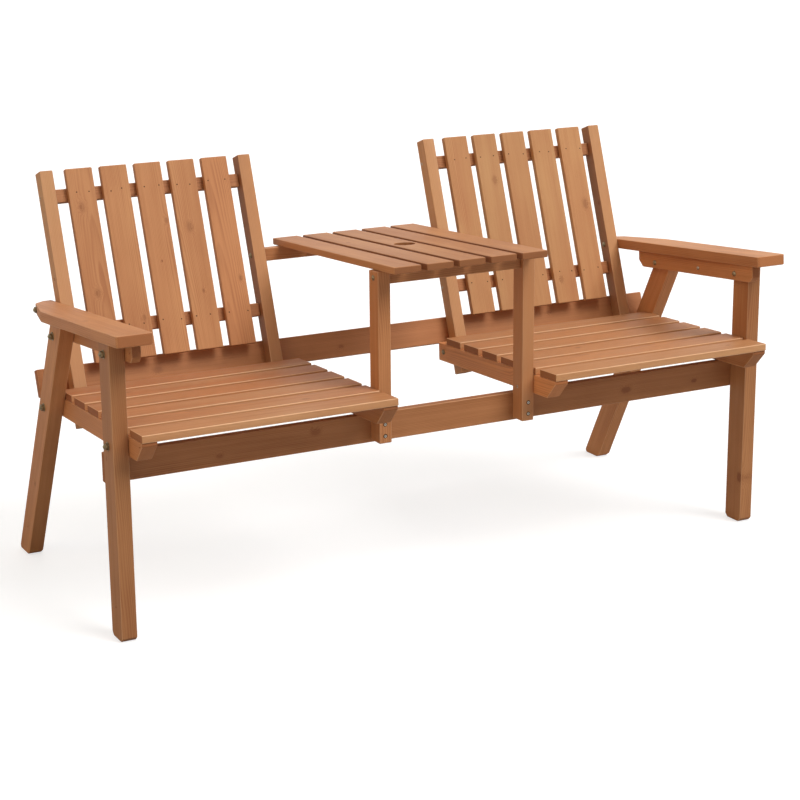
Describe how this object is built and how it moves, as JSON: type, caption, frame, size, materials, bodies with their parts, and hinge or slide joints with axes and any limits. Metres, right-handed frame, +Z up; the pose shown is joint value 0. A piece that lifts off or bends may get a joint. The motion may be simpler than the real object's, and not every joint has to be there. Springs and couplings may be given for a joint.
{
  "type": "garden bench with middle table",
  "caption": "Wooden garden bench whose slatted seats, with leaning backs and armrests, are joined by a slatted middle table with an umbrella hole, on slanted rear legs.",
  "frame": {"origin": "on the ground, under the middle of the bench", "axes": "+X to the right as seen from the front, +Y to the back, +Z up"},
  "size_m": [1.6276, 0.7527, 0.8887],
  "materials": {
    "frame_wood": "orange-brown stain, satin",
    "slat_wood": "orange-brown stain, satin",
    "steel": "zinc plated, slightly dull"
  },
  "bodies": {
    "root": {"front_leg_left": "frame_wood", "rear_leg_left": "frame_wood", "table_post_left": "frame_wood", "outer_side_rail_left": "frame_wood", "inner_side_rail_left": "frame_wood", "outer_stile_left": "frame_wood", "inner_stile_left": "frame_wood", "lower_cross_rail_left": "frame_wood", "upper_cross_rail_left": "frame_wood", "armrest_left": "frame_wood", "arm_support_left": "frame_wood", "front_leg_right": "frame_wood", "rear_leg_right": "frame_wood", "table_post_right": "frame_wood", "outer_side_rail_right": "frame_wood", "inner_side_rail_right": "frame_wood", "outer_stile_right": "frame_wood", "inner_stile_right": "frame_wood", "lower_cross_rail_right": "frame_wood", "upper_cross_rail_right": "frame_wood", "armrest_right": "frame_wood", "arm_support_right": "frame_wood", "front_long_rail": "frame_wood", "rear_long_rail": "frame_wood", "table_front_apron": "frame_wood", "table_rear_rail": "frame_wood", "seat_slat_left_1": "slat_wood", "seat_slat_left_2": "slat_wood", "seat_slat_left_3": "slat_wood", "seat_slat_left_4": "slat_wood", "seat_slat_left_5": "slat_wood", "seat_slat_left_6": "slat_wood", "back_slat_left_1": "slat_wood", "back_slat_left_2": "slat_wood", "back_slat_left_3": "slat_wood", "back_slat_left_4": "slat_wood", "back_slat_left_5": "slat_wood", "seat_slat_right_1": "slat_wood", "seat_slat_right_2": "slat_wood", "seat_slat_right_3": "slat_wood", "seat_slat_right_4": "slat_wood", "seat_slat_right_5": "slat_wood", "seat_slat_right_6": "slat_wood", "back_slat_right_1": "slat_wood", "back_slat_right_2": "slat_wood", "back_slat_right_3": "slat_wood", "back_slat_right_4": "slat_wood", "back_slat_right_5": "slat_wood", "table_slat_1": "slat_wood", "table_slat_2": "slat_wood", "table_slat_3": "slat_wood", "table_slat_4": "slat_wood", "table_slat_5": "slat_wood", "front_leg_bolt_left": "steel", "rear_leg_bolt_left": "steel", "armrest_bolt_left": "steel", "front_leg_bolt_right": "steel", "rear_leg_bolt_right": "steel", "armrest_bolt_right": "steel"}
  },
  "joints": []
}
